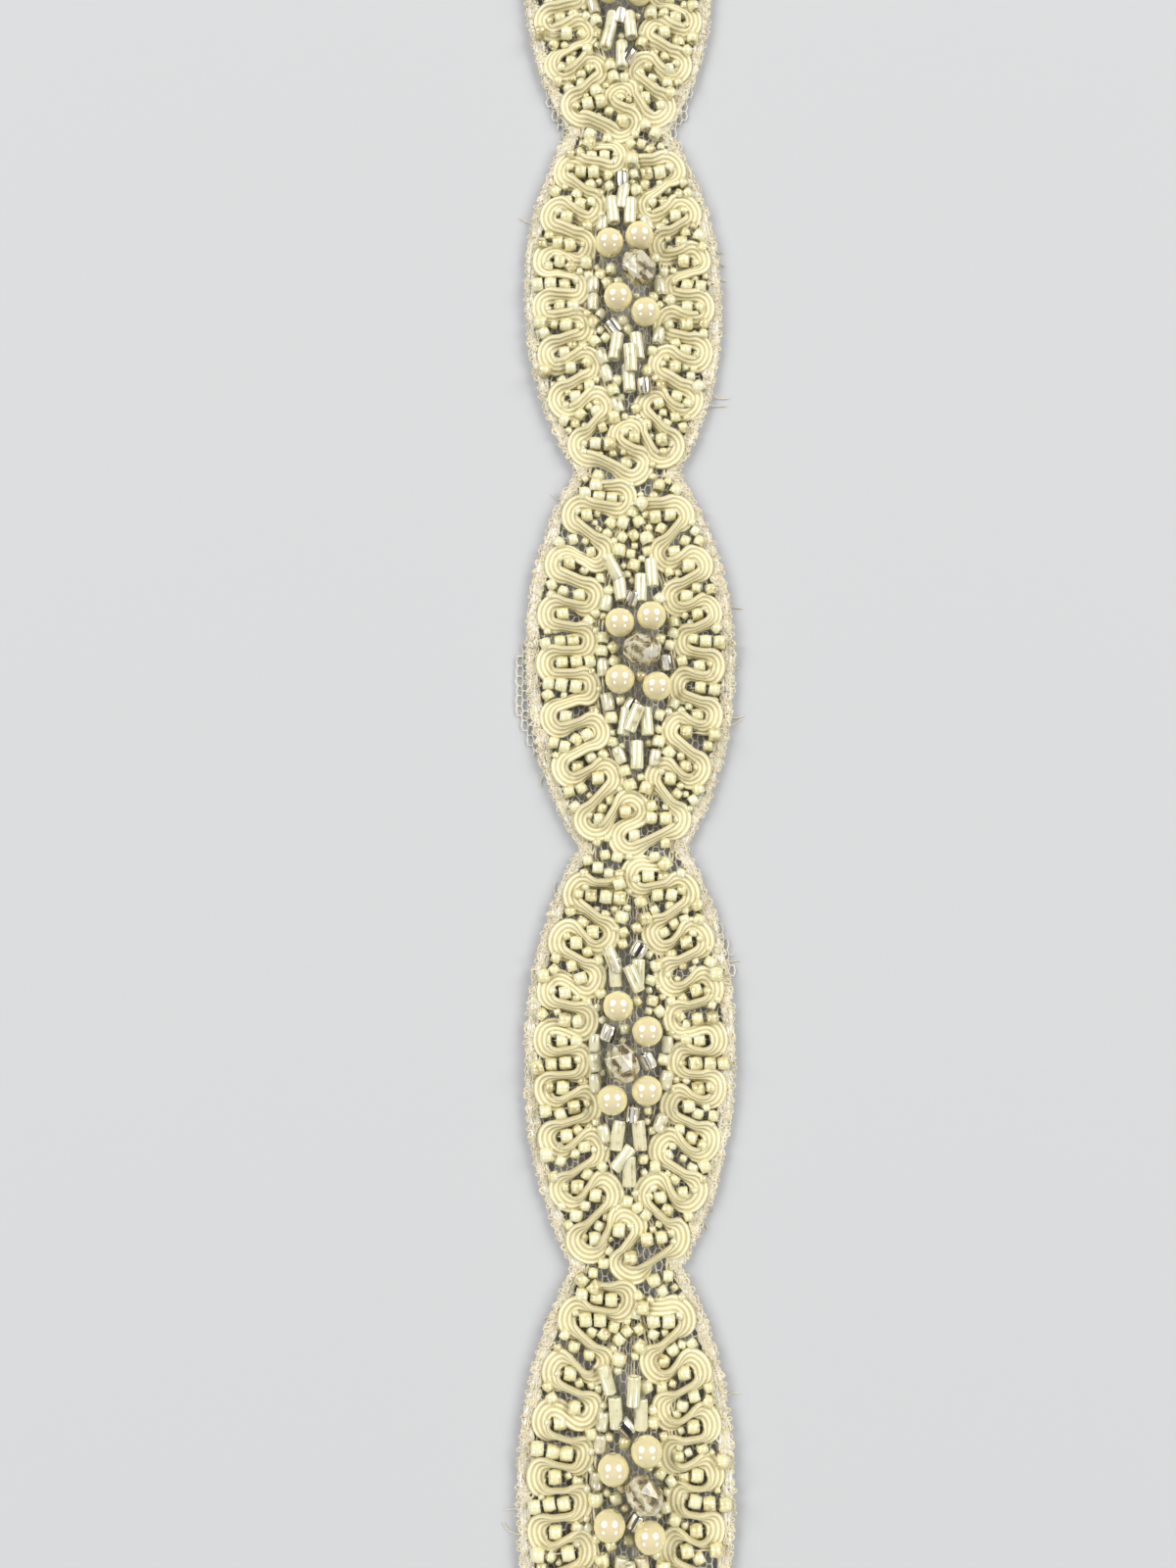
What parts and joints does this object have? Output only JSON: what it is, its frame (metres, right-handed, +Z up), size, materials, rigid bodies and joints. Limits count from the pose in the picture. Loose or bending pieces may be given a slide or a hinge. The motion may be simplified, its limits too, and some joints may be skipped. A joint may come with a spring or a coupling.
{
  "type": "beaded trim",
  "caption": "Flat length of ivory bridal trim: chained pointed-oval medallions of looped braid on net, sewn with pearls, faceted glass and bugle beads.",
  "frame": {"origin": "middle of the underside's box, on the surface that the trim lies on", "axes": "+X across the trim to the right, +Y along its length, +Z up through the beaded face"},
  "size_m": [0.0303, 0.2624, 0.0059],
  "materials": {
    "net": "ivory cotton-like tulle, matt, hexagonal mesh",
    "edging_thread": "fuzzy chain-stitched thread, matt, paler than the braid",
    "rayon_braid": "silky ridged rayon braid, cream yellow",
    "pearl": "pearl lustre, cream",
    "clear_glass": "clear faceted glass",
    "satin_glass": "satin pale yellow glass"
  },
  "bodies": {
    "root": {"net_ground": "net", "edging_left": "edging_thread", "edging_right": "edging_thread", "braid_1": "rayon_braid", "braid_2": "rayon_braid", "braid_3": "rayon_braid", "braid_4": "rayon_braid", "braid_5": "rayon_braid", "pearl_1_1": "pearl", "pearl_1_2": "pearl", "pearl_1_3": "pearl", "pearl_1_4": "pearl", "pearl_2_1": "pearl", "pearl_2_2": "pearl", "pearl_2_3": "pearl", "pearl_2_4": "pearl", "pearl_3_1": "pearl", "pearl_3_2": "pearl", "pearl_3_3": "pearl", "pearl_3_4": "pearl", "pearl_4_1": "pearl", "pearl_4_2": "pearl", "pearl_4_3": "pearl", "pearl_4_4": "pearl", "pearl_5_1": "pearl", "pearl_5_2": "pearl", "pearl_5_3": "pearl", "pearl_5_4": "pearl", "glass_bead_1": "clear_glass", "glass_bead_2": "clear_glass", "glass_bead_3": "clear_glass", "glass_bead_4": "clear_glass", "glass_bead_5": "clear_glass", "bugle_1_1": "satin_glass", "bugle_1_2": "satin_glass", "bugle_1_3": "satin_glass", "bugle_1_4": "satin_glass", "bugle_1_5": "satin_glass", "bugle_2_1": "satin_glass", "bugle_2_2": "satin_glass", "bugle_2_3": "satin_glass", "bugle_2_4": "satin_glass", "bugle_2_5": "satin_glass", "bugle_3_1": "satin_glass", "bugle_3_2": "satin_glass", "bugle_3_3": "satin_glass", "bugle_3_4": "satin_glass", "bugle_3_5": "satin_glass", "bugle_4_1": "satin_glass", "bugle_4_2": "satin_glass", "bugle_4_3": "satin_glass", "bugle_4_4": "satin_glass", "bugle_4_5": "satin_glass", "bugle_5_1": "satin_glass", "bugle_5_2": "satin_glass", "bugle_5_3": "satin_glass", "bugle_5_4": "satin_glass", "bugle_5_5": "satin_glass"}
  },
  "joints": []
}
